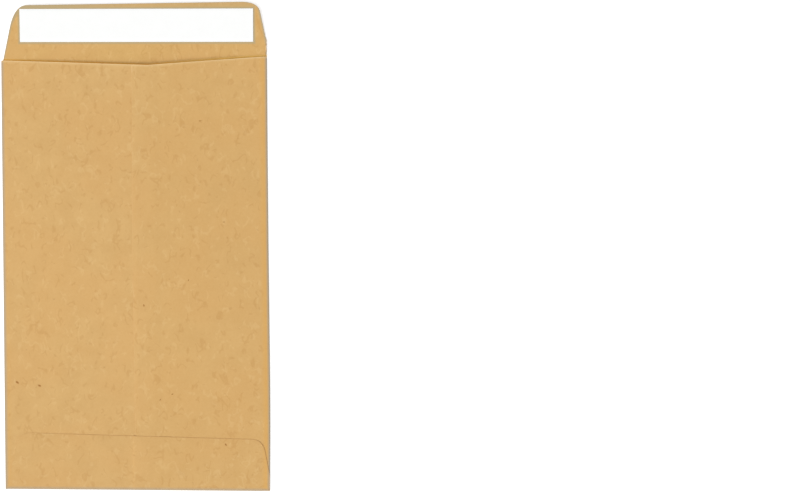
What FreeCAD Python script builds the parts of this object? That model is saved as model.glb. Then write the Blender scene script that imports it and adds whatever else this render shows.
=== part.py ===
import FreeCAD, Part
import math
import os

# A small kraft paper pocket envelope with a centre seam, lying on its plain front, with the
# seamed back upward and the seal flap open. Millimetres and degrees.
# X runs across the width, +Y towards the seal flap and +Z up. The origin is the middle of the
# body's underside. Three pieces: the folded sheet, the adhesive band and its release liner.

# The paper and the folded body
PAPER = 0.13
BODY_WIDTH = 76.5
BODY_LENGTH = 123.0
FOLD_GAP = 0.24            # air inside the left side fold, between the front and the back
MOUTH_GAPE = 0.5           # how far the back springs up in the middle of the mouth
BELLY = 0.6                # how much further it does so halfway along the pocket
BELLY_MARGIN = 1.0         # flat stretch between the bottom flap's free edge and the belly

# The centre seam, where the right panel laps over the left one
SEAM_OVERLAP = 6.8
SEAM_OFFSET = 3.1          # from the middle of the body to the middle of the lap
THROAT_DEPTH = 1.7         # how far the mouth's shallow V dips at the seam

# The seal flap and the bottom flap are cut alike, both a little off the side folds
END_FLAP_INSET = 0.55      # from the body's left edge in to the flaps' left root
END_FLAP_OVERHANG = 0.8    # from the body's right edge out to the flaps' right root
END_FLAP_LEFT_TAPER = 13.5
END_FLAP_RIGHT_TAPER = 11.5
SEAL_FLAP_LENGTH = 15.3
SEAL_FLAP_LIFT = 3.5       # the opened flap springs up a little about its crease
BOTTOM_FLAP_LENGTH = 15.5
BOTTOM_FLAP_SKEW = 1.2
SEAM_RAMP = 0.8            # run over which the bottom flap climbs onto the upper panel
NICK_ROOT = 0.1            # from the nick at the left end of the mouth to the flap's crease
PLY_SETBACK = 0.15         # from the bottom fold's inner round to the panels' cut ends

# How far from the sharp corner each of the flaps' soft corners starts on the side and on the end
SEAL_LEFT_SIDE_RUN = 6.4
SEAL_LEFT_END_RUN = 3.7
SEAL_RIGHT_SIDE_RUN = 2.9
SEAL_RIGHT_END_RUN = 4.9
BOTTOM_SIDE_RUN = 3.6
BOTTOM_END_RUN = 3.2

# The adhesive band and its liner, on the inner face of the seal flap
ADHESIVE = 0.05
ADHESIVE_WIDTH = 7.5
LINER = 0.07
LINER_WIDTH = 9.3
LINER_EDGE_MARGIN = 1.5    # from the flap's free edge to the liner
LINER_LEFT_MARGIN = 2.9    # from the flap's tapered sides to the liner's ends
LINER_RIGHT_MARGIN = 2.7
LINER_SKEW = 0.7

# Levels of the plies above the surface that the envelope lies on
LEFT_UNDER = PAPER + FOLD_GAP
LEFT_TOP = LEFT_UNDER + PAPER
RIGHT_UNDER = LEFT_TOP
RIGHT_TOP = RIGHT_UNDER + PAPER
FLAP_TOP_LEFT = LEFT_TOP + PAPER
FLAP_TOP_RIGHT = RIGHT_TOP + PAPER

# Places across the width
HALF_WIDTH = BODY_WIDTH / 2
LEFT_FOLD_X = LEFT_TOP / 2 - HALF_WIDTH
RIGHT_FOLD_X = HALF_WIDTH - RIGHT_TOP / 2
ARCH_CENTRE = (LEFT_FOLD_X + RIGHT_FOLD_X) / 2
ARCH_HALF = (RIGHT_FOLD_X - LEFT_FOLD_X) / 2
NICK_X = END_FLAP_INSET - HALF_WIDTH
SHOULDER_X = HALF_WIDTH + END_FLAP_OVERHANG
UPPER_EDGE_X = SEAM_OFFSET - SEAM_OVERLAP / 2
LOWER_EDGE_X = SEAM_OFFSET + SEAM_OVERLAP / 2
LEFT_TAPER = math.tan(math.radians(END_FLAP_LEFT_TAPER))
RIGHT_TAPER = math.tan(math.radians(END_FLAP_RIGHT_TAPER))
RIGHT_ROUND = math.pi * (PAPER + RIGHT_UNDER) / 4

# Places along the length
HALF_LENGTH = BODY_LENGTH / 2
SKEW_RISE = HALF_WIDTH * math.tan(math.radians(BOTTOM_FLAP_SKEW))
PLY_END_Y = -HALF_LENGTH + FLAP_TOP_RIGHT / 2 + PLY_SETBACK
FLAT_END_Y = -HALF_LENGTH + BOTTOM_FLAP_LENGTH + SKEW_RISE + BELLY_MARGIN
SEAL_ROOT_Y = HALF_LENGTH - NICK_ROOT
SHOULDER_END_Y = SEAL_ROOT_Y + (SHOULDER_X - RIGHT_FOLD_X) / RIGHT_TAPER
SHOULDER_TOP_Y = SHOULDER_END_Y - RIGHT_ROUND / RIGHT_TAPER

# The line that the seal flap is creased along
CREASE = FreeCAD.Vector(0, HALF_LENGTH, 0)
ACROSS = FreeCAD.Vector(1, 0, 0)

# Number of sections that the belly is lofted through, and how far a cut reaches past the paper
STATIONS = 11
REACH = 6.0


def vec(x, y, z):
    return FreeCAD.Vector(x, y, z)


def line(start, end):
    return Part.LineSegment(start, end).toShape()


def arc(start, middle, end):
    return Part.Arc(start, middle, end).toShape()


def prism(outline, low, high):
    """A vertical prism over a plan outline of (x, y) points."""
    points = [vec(x, y, low) for x, y in outline]
    face = Part.Face(Part.makePolygon(points + points[:1]))
    return face.extrude(vec(0, 0, high - low))


def rise(y):
    """How far the back stands above its flat level on the middle line, at a place along y."""
    share = max(0.0, (y - FLAT_END_Y) / (HALF_LENGTH - FLAT_END_Y))
    opening = min(1.0, 2 * share)
    gape = MOUTH_GAPE * opening * opening * (3 - 2 * opening)
    return gape + BELLY * math.sin(math.pi * share) ** 2


def back_height(x, y, level):
    """Height of a back panel's surface: a parabola between the side folds."""
    return level + rise(y) * (1 - ((x - ARCH_CENTRE) / ARCH_HALF) ** 2)


def panel_curve(x_from, x_to, y, level):
    """The parabola of a back panel's surface between two places across the width."""
    slope = -2 * rise(y) * (x_from - ARCH_CENTRE) / ARCH_HALF ** 2
    start = vec(x_from, y, back_height(x_from, y, level))
    end = vec(x_to, y, back_height(x_to, y, level))
    half_span = (x_to - x_from) / 2
    curve = Part.BezierCurve()
    curve.setPoles([start, start + vec(half_span, 0, slope * half_span), end])
    return curve.toShape()


def back_section(y):
    """The closed outline of the two lapped back panels between the side folds, at y."""
    def corner(x, level):
        return vec(x, y, back_height(x, y, level))

    return Part.Wire([
        panel_curve(RIGHT_FOLD_X, UPPER_EDGE_X, y, RIGHT_TOP),
        line(corner(UPPER_EDGE_X, RIGHT_TOP), corner(UPPER_EDGE_X, LEFT_TOP)),
        panel_curve(UPPER_EDGE_X, LEFT_FOLD_X, y, LEFT_TOP),
        line(corner(LEFT_FOLD_X, LEFT_TOP), corner(LEFT_FOLD_X, LEFT_UNDER)),
        panel_curve(LEFT_FOLD_X, LOWER_EDGE_X, y, LEFT_UNDER),
        line(corner(LOWER_EDGE_X, LEFT_UNDER), corner(LOWER_EDGE_X, RIGHT_UNDER)),
        panel_curve(LOWER_EDGE_X, RIGHT_FOLD_X, y, RIGHT_UNDER),
        line(corner(RIGHT_FOLD_X, RIGHT_UNDER), corner(RIGHT_FOLD_X, RIGHT_TOP)),
    ])


def back_panels():
    """The left and right back panels, flat beside the bottom flap and arched beyond it."""
    flat = Part.Face(back_section(PLY_END_Y)).extrude(vec(0, FLAT_END_Y - PLY_END_Y, 0))
    step = (HALF_LENGTH - FLAT_END_Y) / (STATIONS - 1)
    sections = [back_section(FLAT_END_Y + step * i) for i in range(STATIONS)]
    return flat.fuse(Part.makeLoft(sections, True))


def front_panel():
    """The flat front, which reaches the bottom edge at the left, where the bottom fold is cut in."""
    outline = [
        (LEFT_FOLD_X, -HALF_LENGTH),
        (NICK_X, -HALF_LENGTH),
        (NICK_X, PLY_END_Y),
        (RIGHT_FOLD_X, PLY_END_Y),
        (RIGHT_FOLD_X, HALF_LENGTH),
        (LEFT_FOLD_X, HALF_LENGTH),
    ]
    return prism(outline, 0, PAPER)


def side_fold(x, outward, under, start_y, end_y):
    """The half round that joins the front to a back panel whose underside is at level under."""
    middle = (PAPER + under) / 2
    inner = (under - PAPER) / 2 * outward
    outer = inner + PAPER * outward
    top = under + PAPER

    def at(dx, z):
        return vec(x + dx, start_y, z)

    outline = Part.Wire([
        arc(at(0, 0), at(outer, middle), at(0, top)),
        line(at(0, top), at(0, under)),
        arc(at(0, under), at(inner, middle), at(0, PAPER)),
        line(at(0, PAPER), at(0, 0)),
    ])
    return Part.Face(outline).extrude(vec(0, end_y - start_y, 0))


def throat_cut():
    """What is trimmed off the back panels for the shallow V of the mouth."""
    outline = [
        (LEFT_FOLD_X, HALF_LENGTH),
        (SEAM_OFFSET, HALF_LENGTH - THROAT_DEPTH),
        (RIGHT_FOLD_X, HALF_LENGTH),
        (RIGHT_FOLD_X, HALF_LENGTH + REACH),
        (LEFT_FOLD_X, HALF_LENGTH + REACH),
    ]
    return prism(outline, PAPER + FOLD_GAP / 2, RIGHT_TOP + REACH)


def fold_nick_cut():
    """The nick at the left end of the mouth, where the flap's outline starts inside the fold."""
    outline = [
        (-HALF_WIDTH - REACH, SEAL_ROOT_Y - END_FLAP_INSET - REACH),
        (NICK_X, SEAL_ROOT_Y),
        (NICK_X + LEFT_TAPER * REACH, SEAL_ROOT_Y + REACH),
        (-HALF_WIDTH - REACH, SEAL_ROOT_Y + REACH),
    ]
    return prism(outline, -REACH, RIGHT_TOP + REACH)


def crease_room(side, turn):
    """The space on one side (+1 or -1 along y) of a plane through the crease, tilted by turn."""
    near = CREASE + vec(-BODY_WIDTH, 0, -REACH)
    far = vec(0, side * BODY_LENGTH, 0)
    edge = line(near, near + vec(2 * BODY_WIDTH, 0, 0))
    room = edge.extrude(far).extrude(vec(0, 0, 2 * REACH))
    return room.rotated(CREASE, ACROSS, turn)


def body():
    """Front panel, side folds and the two lapped back panels, cut off at the crease's mitre."""
    left_fold = side_fold(LEFT_FOLD_X, -1, LEFT_UNDER, -HALF_LENGTH, HALF_LENGTH)
    right_fold = side_fold(RIGHT_FOLD_X, 1, RIGHT_UNDER, PLY_END_Y, HALF_LENGTH)
    back = back_panels().cut(throat_cut())
    tube = front_panel().fuse([left_fold, right_fold, back])
    return tube.cut(fold_nick_cut()).cut(crease_room(1, SEAL_FLAP_LIFT / 2))


def soft_corner(before, corner, after, run_before, run_after):
    """The curve that takes off a corner, tangent to its two sides where it meets them."""
    start = corner + (before - corner).normalize() * run_before
    end = corner + (after - corner).normalize() * run_after
    curve = Part.BezierCurve()
    curve.setPoles([start, corner, end])
    return curve.toShape()


def end_flap_outline(root_y, length, skew, left_runs, right_runs):
    """A tall prism over an end flap's outline, whose sides start to taper at root_y.

    Each pair of runs says how far a corner is taken off, on the flap's side and on its end.
    """
    fall = HALF_WIDTH * math.tan(math.radians(skew))
    left, right = length + fall, length - fall
    root_left, root_right = vec(NICK_X, root_y, -REACH), vec(SHOULDER_X, root_y, -REACH)
    far_left = root_left + vec(LEFT_TAPER * left, left, 0)
    far_right = root_right + vec(-RIGHT_TAPER * right, right, 0)
    back = vec(0, -REACH, 0)
    right_corner = soft_corner(root_right, far_right, far_left, *right_runs)
    left_corner = soft_corner(root_left, far_left, far_right, *left_runs)
    outline = Part.Wire([
        line(root_left + back, root_right + back),
        line(root_right + back, root_right),
        line(root_right, right_corner.firstVertex().Point),
        right_corner,
        line(right_corner.lastVertex().Point, left_corner.lastVertex().Point),
        left_corner,
        line(left_corner.firstVertex().Point, root_left),
        line(root_left, root_left + back),
    ])
    return Part.Face(outline).extrude(vec(0, 0, 2 * REACH))


def shoulder_cut():
    """Trims the right side fold where the flap's tapered outline crosses it."""
    points = [
        vec(RIGHT_FOLD_X, SHOULDER_END_Y, 0),
        vec(RIGHT_FOLD_X, SHOULDER_TOP_Y, RIGHT_TOP),
        vec(RIGHT_FOLD_X, SHOULDER_TOP_Y, RIGHT_TOP + REACH),
        vec(RIGHT_FOLD_X, SHOULDER_END_Y + REACH, RIGHT_TOP + REACH),
        vec(RIGHT_FOLD_X, SHOULDER_END_Y + REACH, 0),
    ]
    side = Part.Face(Part.makePolygon(points + points[:1]))
    return side.extrude(vec(REACH, 0, 0))


def seal_flap():
    """The open seal flap, one ply that runs on from the front panel and lifts at its crease.

    Its right shoulder lies past the side fold, so the fold runs on there until the flap's
    tapered outline has crossed it.
    """
    start_y = HALF_LENGTH - REACH
    free_y = HALF_LENGTH + SEAL_FLAP_LENGTH
    outline = [
        (-HALF_WIDTH, start_y),
        (RIGHT_FOLD_X, start_y),
        (RIGHT_FOLD_X, free_y + REACH),
        (-HALF_WIDTH, free_y + REACH),
    ]
    left_runs = (SEAL_LEFT_SIDE_RUN, SEAL_LEFT_END_RUN)
    right_runs = (SEAL_RIGHT_SIDE_RUN, SEAL_RIGHT_END_RUN)
    cut = end_flap_outline(SEAL_ROOT_Y, free_y - SEAL_ROOT_Y, 0, left_runs, right_runs)
    ply = prism(outline, 0, PAPER).common(cut)
    shoulder = side_fold(RIGHT_FOLD_X, 1, RIGHT_UNDER, start_y, SHOULDER_END_Y)
    flat = ply.fuse(shoulder.cut(shoulder_cut())).cut(crease_room(-1, -SEAL_FLAP_LIFT / 2))
    return flat.rotated(CREASE, ACROSS, SEAL_FLAP_LIFT)


def bottom_profile(x, top):
    """The bottom fold seen from the side: the front ply, a half round and the flap's ply."""
    outer = top / 2
    inner = outer - PAPER
    round_y = -HALF_LENGTH + outer
    flap_end = -HALF_LENGTH + BOTTOM_FLAP_LENGTH + REACH
    outer_low, outer_high = vec(x, round_y, 0), vec(x, round_y, top)
    inner_low, inner_high = vec(x, round_y, PAPER), vec(x, round_y, top - PAPER)
    front_low, front_high = vec(x, PLY_END_Y, 0), vec(x, PLY_END_Y, PAPER)
    end_low, end_high = vec(x, flap_end, top - PAPER), vec(x, flap_end, top)
    return Part.Wire([
        line(front_low, outer_low),
        arc(outer_low, vec(x, round_y - outer, outer), outer_high),
        line(outer_high, end_high),
        line(end_high, end_low),
        line(end_low, inner_high),
        arc(inner_high, vec(x, round_y - inner, outer), inner_low),
        line(inner_low, front_high),
        line(front_high, front_low),
    ])


def bottom_flap():
    """The bottom fold and flap, which climbs where the upper panel's edge lies under it."""
    ramp_x = UPPER_EDGE_X - SEAM_RAMP
    left = Part.Face(bottom_profile(-HALF_WIDTH, FLAP_TOP_LEFT))
    left = left.extrude(vec(ramp_x + HALF_WIDTH, 0, 0))
    ramp_ends = [
        bottom_profile(ramp_x, FLAP_TOP_LEFT),
        bottom_profile(UPPER_EDGE_X, FLAP_TOP_RIGHT),
    ]
    ramp = Part.makeLoft(ramp_ends, True, True)
    right = Part.Face(bottom_profile(UPPER_EDGE_X, FLAP_TOP_RIGHT))
    right = right.extrude(vec(HALF_WIDTH - UPPER_EDGE_X, 0, 0))
    strip = left.fuse([ramp, right])
    length = BOTTOM_FLAP_LENGTH - HALF_LENGTH - PLY_END_Y
    runs = (BOTTOM_SIDE_RUN, BOTTOM_END_RUN)
    return strip.common(end_flap_outline(PLY_END_Y, length, BOTTOM_FLAP_SKEW, runs, runs))


def folded_sheet():
    """The one sheet of paper: every panel and flap joined at its folds and glued laps."""
    return body().fuse([seal_flap(), bottom_flap()]).removeSplitter()


def seal_band(width, low, high):
    """A layer of the peel strip on the flap's inner face: as long as the liner."""
    middle_y = SEAL_FLAP_LENGTH - LINER_EDGE_MARGIN - LINER_WIDTH / 2
    left_end = NICK_X + LEFT_TAPER * (middle_y + NICK_ROOT) + LINER_LEFT_MARGIN
    right_end = SHOULDER_X - RIGHT_TAPER * (middle_y + NICK_ROOT) - LINER_RIGHT_MARGIN
    middle = vec((left_end + right_end) / 2, HALF_LENGTH + middle_y, 0)
    low_y, high_y = middle.y - width / 2, middle.y + width / 2
    outline = [(left_end, low_y), (right_end, low_y), (right_end, high_y), (left_end, high_y)]
    band = prism(outline, low, high)
    band.rotate(middle, vec(0, 0, 1), -LINER_SKEW)
    return band.rotated(CREASE, ACROSS, SEAL_FLAP_LIFT)


def seal_adhesive():
    return seal_band(ADHESIVE_WIDTH, PAPER, PAPER + ADHESIVE)


def release_liner():
    return seal_band(LINER_WIDTH, PAPER + ADHESIVE, PAPER + ADHESIVE + LINER)


NODES = {
    "folded_sheet": folded_sheet,
    "seal_adhesive": seal_adhesive,
    "release_liner": release_liner,
}

os.makedirs("parts", exist_ok=True)
for name, make in NODES.items():
    shape = make()
    solid = shape.Solids[0] if len(shape.Solids) == 1 else shape
    solid.exportStep(f"parts/{name}.step")
    box = solid.BoundBox
    print(name, "solids", len(shape.Solids), "valid", solid.isValid(), "mm3", round(solid.Volume, 1))
    print("  box", [round(v, 3) for v in (box.XMin, box.YMin, box.ZMin, box.XMax, box.YMax, box.ZMax)])
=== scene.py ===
import math

import bpy
import numpy as np
from mathutils import Euler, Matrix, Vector
from mathutils.geometry import delaunay_2d_cdt


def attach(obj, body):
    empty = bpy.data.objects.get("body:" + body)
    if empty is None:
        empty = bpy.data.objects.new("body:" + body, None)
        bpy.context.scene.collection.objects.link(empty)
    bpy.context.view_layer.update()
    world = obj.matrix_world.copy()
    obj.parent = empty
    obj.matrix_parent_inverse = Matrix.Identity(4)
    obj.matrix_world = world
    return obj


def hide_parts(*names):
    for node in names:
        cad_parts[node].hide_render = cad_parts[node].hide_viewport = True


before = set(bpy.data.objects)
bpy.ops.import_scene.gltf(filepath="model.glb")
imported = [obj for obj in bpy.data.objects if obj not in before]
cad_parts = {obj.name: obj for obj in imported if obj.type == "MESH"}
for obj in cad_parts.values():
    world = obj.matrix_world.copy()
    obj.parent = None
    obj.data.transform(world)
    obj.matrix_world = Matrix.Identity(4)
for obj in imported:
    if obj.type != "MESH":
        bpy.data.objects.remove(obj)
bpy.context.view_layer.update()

# A small kraft pocket envelope, seamed back up, with its seal flap open.
# The sheet of paper is cut out flat and then folded. Lengths are millimetres unless a name
# says otherwise, and the mesh maker turns them into metres.
MM = 0.001

# The paper and the folded body
PAPER = 0.13
HALF_WIDTH = 38.25
HALF_LENGTH = 61.5
FOLD_GAP = 0.24
MOUTH_GAPE = 0.5
BELLY = 0.6
SEAM_OVERLAP = 6.8
SEAM_OFFSET = 3.1
PLY_SETBACK = 0.15
BELLY_MARGIN = 1.0

# The mouth's shallow V: its point, its depth there and at the side folds, and how hollow its
# right half is cut, where 1 is straight
THROAT_X = 4.2
THROAT_DEPTH = 2.15
THROAT_LEFT_DROP = 0.28
THROAT_RIGHT_DROP = 0.13
THROAT_RIGHT_CURVE = 1.25

# The two end flaps. A pair of runs says how far a soft corner is taken off, on the flap's
# side and on its end
END_FLAP_INSET = 0.55
END_FLAP_OVERHANG = 0.8
LEFT_TAPER = math.tan(math.radians(13.5))
RIGHT_TAPER = math.tan(math.radians(11.5))
SEAL_LEFT_RUNS = (6.4, 3.7)
SEAL_RIGHT_RUNS = (2.9, 4.9)
BOTTOM_RUNS = (3.6, 3.2)
SEAL_FLAP_LENGTH = 15.3
SEAL_FLAP_LIFT = math.radians(3.5)
BOTTOM_FLAP_LENGTH = 15.5
BOTTOM_FLAP_SKEW = math.radians(1.2)
BOTTOM_END_MIDDLE_X = 1.0
SEAM_RAMP = 0.8
NICK_ROOT = 0.1

# The peel strip
ADHESIVE = 0.05
ADHESIVE_WIDTH = 7.5
LINER = 0.07
LINER_WIDTH = 9.3
LINER_EDGE_MARGIN = 1.5
LINER_LEFT_MARGIN = 2.9
LINER_RIGHT_MARGIN = 2.7
LINER_SKEW = math.radians(0.7)

# Levels and places that follow from them
LEFT_UNDER = PAPER + FOLD_GAP
RIGHT_UNDER = LEFT_UNDER + PAPER
FLAP_TOP_LEFT = RIGHT_UNDER + PAPER
FLAP_TOP_RIGHT = FLAP_TOP_LEFT + PAPER
LEFT_FOLD_X = RIGHT_UNDER / 2 - HALF_WIDTH
RIGHT_FOLD_X = HALF_WIDTH - FLAP_TOP_LEFT / 2
ARCH_CENTRE = (LEFT_FOLD_X + RIGHT_FOLD_X) / 2
ARCH_HALF = (RIGHT_FOLD_X - LEFT_FOLD_X) / 2
NICK_X = END_FLAP_INSET - HALF_WIDTH
SHOULDER_X = HALF_WIDTH + END_FLAP_OVERHANG
UPPER_EDGE_X = SEAM_OFFSET - SEAM_OVERLAP / 2
LOWER_EDGE_X = SEAM_OFFSET + SEAM_OVERLAP / 2
PLY_END_Y = -HALF_LENGTH + FLAP_TOP_RIGHT / 2 + PLY_SETBACK
BOTTOM_FALL = HALF_WIDTH * math.tan(BOTTOM_FLAP_SKEW)
FLAT_END_Y = -HALF_LENGTH + BOTTOM_FLAP_LENGTH + BOTTOM_FALL + BELLY_MARGIN
SEAL_ROOT_Y = HALF_LENGTH - NICK_ROOT
SHOULDER_END_Y = SEAL_ROOT_Y + (SHOULDER_X - RIGHT_FOLD_X) / RIGHT_TAPER
SHOULDER_TOP_Y = SHOULDER_END_Y - math.pi * FLAP_TOP_LEFT / 4 / RIGHT_TAPER
LINER_MIDDLE = SEAL_FLAP_LENGTH - LINER_EDGE_MARGIN - LINER_WIDTH / 2
LINER_LEFT_X = NICK_X + LEFT_TAPER * (LINER_MIDDLE + NICK_ROOT) + LINER_LEFT_MARGIN
LINER_RIGHT_X = SHOULDER_X - RIGHT_TAPER * (LINER_MIDDLE + NICK_ROOT) - LINER_RIGHT_MARGIN

# On the flat pattern each fold's bend takes a band of this width, and a slit this wide
# parts what is bent from what stays flat beside it
BAND = 1.0
SLIT = 0.02

# How thick a ply is shown, so that glued plies don't share a face, and the third number of
# flat_place on the paper's outer face
SHOWN_PAPER = 0.127
OUTER = 9.0

# Slight unevenness of the paper. The back's ripples, and the run over which they set in above
# the glued bottom flap
RIPPLE = 0.05
RIPPLE_RUN = 25.0

# The right side fold's bow, how much it leans to the body's lower end, and the place from
# which the back goes along with it
SIDE_BOW = 0.27
SIDE_BOW_LEAN = 2.8
BOW_START_X = 8.0

# The dip past the hidden panel edge, how deep and how far in the glued free edges are pressed
# into the ply below, and the droop of the liner's free borders
EDGE_DIP = 0.05
EDGE_DIP_RUN = 1.6
PRESSED = 0.07
PRESSED_WIDTH = 1.1
LINER_DROOP = 0.03

# The painted highlight and the dark of cut edges keep to a strip this wide along each edge. The
# highlight is weaker at the seam, and the bottom flap's dark edge, a painted shadow, fades in from
# the left, over a run that starts here
EDGE_STRIP = 0.3
SEAM_HIGHLIGHT = 0.35
FLAP_SHADOW_START = -36.0
FLAP_SHADOW_RUN = 24.0

# The mesh: its pitch, the finer ones near the mouth and at the lap, how wide the finer strip is,
# the steps round the bends and up the ramp, the shortest step along an edge, and a length that
# counts as none
PITCH = 1.6
FINE_PITCH = 0.8
FINEST_PITCH = 0.5
FINE_STRIP = 8.0
SIDE_BEND_STEPS = 8
BOTTOM_BEND_STEPS = 14
RAMP_STEPS = 4
SHORTEST_STEP = 0.03
TINY = 1e-6


def smooth(share):
    """Eases a share in and out, and keeps it from 0 to 1."""
    share = min(1.0, max(0.0, share))
    return share * share * (3 - 2 * share)


def rise(y):
    """How far the back stands above its flat level on the middle line."""
    share = max(0.0, (y - FLAT_END_Y) / (HALF_LENGTH - FLAT_END_Y))
    return MOUTH_GAPE * smooth(2 * share) + BELLY * math.sin(math.pi * share) ** 2


def ripple(x, y):
    """Broad, weak waves in the back, which die out at the glued bottom flap."""
    wave = math.sin(x / 9.0 + 0.9 * math.sin(y / 17.0)) + math.sin(y / 12.5 + x / 31.0 + 1.3)
    return RIPPLE / 2 * wave * smooth((y - FLAT_END_Y) / RIPPLE_RUN)


def pressed(inside):
    """How much lower the paper lies, a given way inside a glued free edge."""
    return PRESSED * (1 - smooth(inside / PRESSED_WIDTH))


def back_point(x, y, level):
    """A point on the back, which arches up between the side folds."""
    arch = 1 - ((x - ARCH_CENTRE) / ARCH_HALF) ** 2
    return Vector((x, y, level + (rise(y) + ripple(x, y)) * arch))


def fold_point(x, y, outward, under, share):
    """A point on a side fold's bend, share of the way round from the front to the back."""
    radius = under / 2
    turn = math.pi * share
    height = PAPER / 2 + radius * (1 - math.cos(turn))
    return Vector((x + outward * radius * math.sin(turn), y, height))


def bottom_fold_point(x, v):
    """A point on the bottom fold or flap, which climbs over the upper panel's edge."""
    climb = smooth((x - UPPER_EDGE_X + SEAM_RAMP) / SEAM_RAMP)
    top = FLAP_TOP_LEFT + (FLAP_TOP_RIGHT - FLAP_TOP_LEFT) * climb
    radius = (top - PAPER) / 2
    run = PLY_END_Y + HALF_LENGTH - top / 2
    length = 2 * run + math.pi * radius
    along = (PLY_END_Y - v) / BAND * length
    if along <= run:
        return Vector((x, PLY_END_Y - along, PAPER / 2))
    if along <= length - run:
        turn = (along - run) / radius
        y = PLY_END_Y - run - radius * math.sin(turn)
        return Vector((x, y, PAPER / 2 + radius * (1 - math.cos(turn))))
    if along <= length:
        return Vector((x, PLY_END_Y - length + along, top - PAPER / 2))
    y = 2 * PLY_END_Y - BAND - v
    slope = BOTTOM_FALL / (HALF_WIDTH - (LEFT_TAPER + RIGHT_TAPER) * BOTTOM_FLAP_LENGTH / 2)
    end_y = BOTTOM_FLAP_LENGTH - HALF_LENGTH - slope * (x - BOTTOM_END_MIDDLE_X)
    return Vector((x, y, top - PAPER / 2 - pressed(end_y - y)))


def lifted(point, v):
    """Turns what lies past the seal flap's crease up by the flap's lift."""
    if v < HALF_LENGTH - TINY:
        return point
    past = point.y - HALF_LENGTH
    if past < TINY:
        return Vector((point.x, HALF_LENGTH - point.z * math.tan(SEAL_FLAP_LIFT / 2), point.z))
    turn_cos, turn_sin = math.cos(SEAL_FLAP_LIFT), math.sin(SEAL_FLAP_LIFT)
    y = HALF_LENGTH + past * turn_cos - point.z * turn_sin
    return Vector((point.x, y, past * turn_sin + point.z * turn_cos))


def side_bow(y):
    """How far the right side fold stands outward at a height on the body."""
    share = min(1.0, max(0.0, (HALF_LENGTH - y) / (2 * HALF_LENGTH)))
    return SIDE_BOW * math.sin(math.pi * share**SIDE_BOW_LEAN)


def bowed(point):
    """Moves the right half outward with the side fold, less towards the middle."""
    bow = side_bow(point.y) * smooth((point.x - BOW_START_X) / (RIGHT_FOLD_X - BOW_START_X))
    return Vector((point.x + bow, point.y, point.z))


def envelope_point(u, v):
    """Where a place on the flat pattern comes to lie: the middle of the folded paper."""
    return bowed(folded_point(u, v))


def folded_point(u, v):
    """The same with straight side folds."""
    if v < PLY_END_Y - SLIT / 2 and u > NICK_X - SLIT / 2:
        return bottom_fold_point(u, v)
    if u < LEFT_FOLD_X - BAND:
        return back_point(2 * LEFT_FOLD_X - BAND - u, v, LEFT_UNDER + PAPER / 2)
    if u < LEFT_FOLD_X:
        return fold_point(LEFT_FOLD_X, v, -1, LEFT_UNDER, (LEFT_FOLD_X - u) / BAND)
    if u <= RIGHT_FOLD_X:
        return lifted(Vector((u, v, PAPER / 2)), v)
    if u <= RIGHT_FOLD_X + BAND:
        return lifted(fold_point(RIGHT_FOLD_X, v, 1, RIGHT_UNDER, (u - RIGHT_FOLD_X) / BAND), v)
    x = 2 * RIGHT_FOLD_X + BAND - u
    past_edge = max(0.0, (x - LOWER_EDGE_X) / EDGE_DIP_RUN)
    dip = EDGE_DIP * past_edge * math.exp(1 - past_edge)
    return back_point(x, v, RIGHT_UNDER + PAPER / 2 - dip - pressed(x - UPPER_EDGE_X))


def soft_corner(before, corner, after, runs, steps=12):
    """Points of the curve that takes off a corner between two straight sides."""
    before, corner, after = Vector(before), Vector(corner), Vector(after)
    start = corner + (before - corner).normalized() * runs[0]
    end = corner + (after - corner).normalized() * runs[1]
    points = []
    for step in range(steps + 1):
        share = step / steps
        points.append(tuple(start.lerp(corner, share).lerp(corner.lerp(end, share), share)))
    return points


def end_flap(root_y, length, fall, left_runs, right_runs):
    """An end flap's outline from the right root round to the left root."""
    left, right = (NICK_X, root_y), (SHOULDER_X, root_y)
    far_left = (NICK_X + LEFT_TAPER * (length + fall), root_y + length + fall)
    far_right = (SHOULDER_X - RIGHT_TAPER * (length - fall), root_y + length - fall)
    right_corner = soft_corner(right, far_right, far_left, right_runs)
    left_corner = soft_corner(left, far_left, far_right, left_runs)
    return [right] + right_corner + left_corner[::-1] + [left]


def throat(x):
    """Where the mouth's shallow V is cut across the back panels."""
    if x < THROAT_X:
        share, drop = (x - LEFT_FOLD_X) / (THROAT_X - LEFT_FOLD_X), THROAT_LEFT_DROP
    else:
        share, drop = (RIGHT_FOLD_X - x) / (RIGHT_FOLD_X - THROAT_X), THROAT_RIGHT_DROP
        share = max(0.0, share) ** THROAT_RIGHT_CURVE
    return HALF_LENGTH - drop - (THROAT_DEPTH - drop) * share


def left_u(x):
    """Where a place on the left back panel lies across the flat pattern."""
    return 2 * LEFT_FOLD_X - BAND - x


def right_u(x):
    """The same for the right back panel."""
    return 2 * RIGHT_FOLD_X + BAND - x


def bottom_flap_cut():
    """The bottom flap's outline on the flat pattern, from its left root to its right root."""
    length = BOTTOM_FLAP_LENGTH - HALF_LENGTH - PLY_END_Y
    points = end_flap(PLY_END_Y, length, BOTTOM_FALL, BOTTOM_RUNS, BOTTOM_RUNS)[1:]
    meets_y = PLY_END_Y + END_FLAP_OVERHANG / RIGHT_TAPER
    points = [(HALF_WIDTH, PLY_END_Y), (HALF_WIDTH, meets_y)] + points
    return [(x, 2 * PLY_END_Y - BAND - y) for x, y in reversed(points)]


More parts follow.
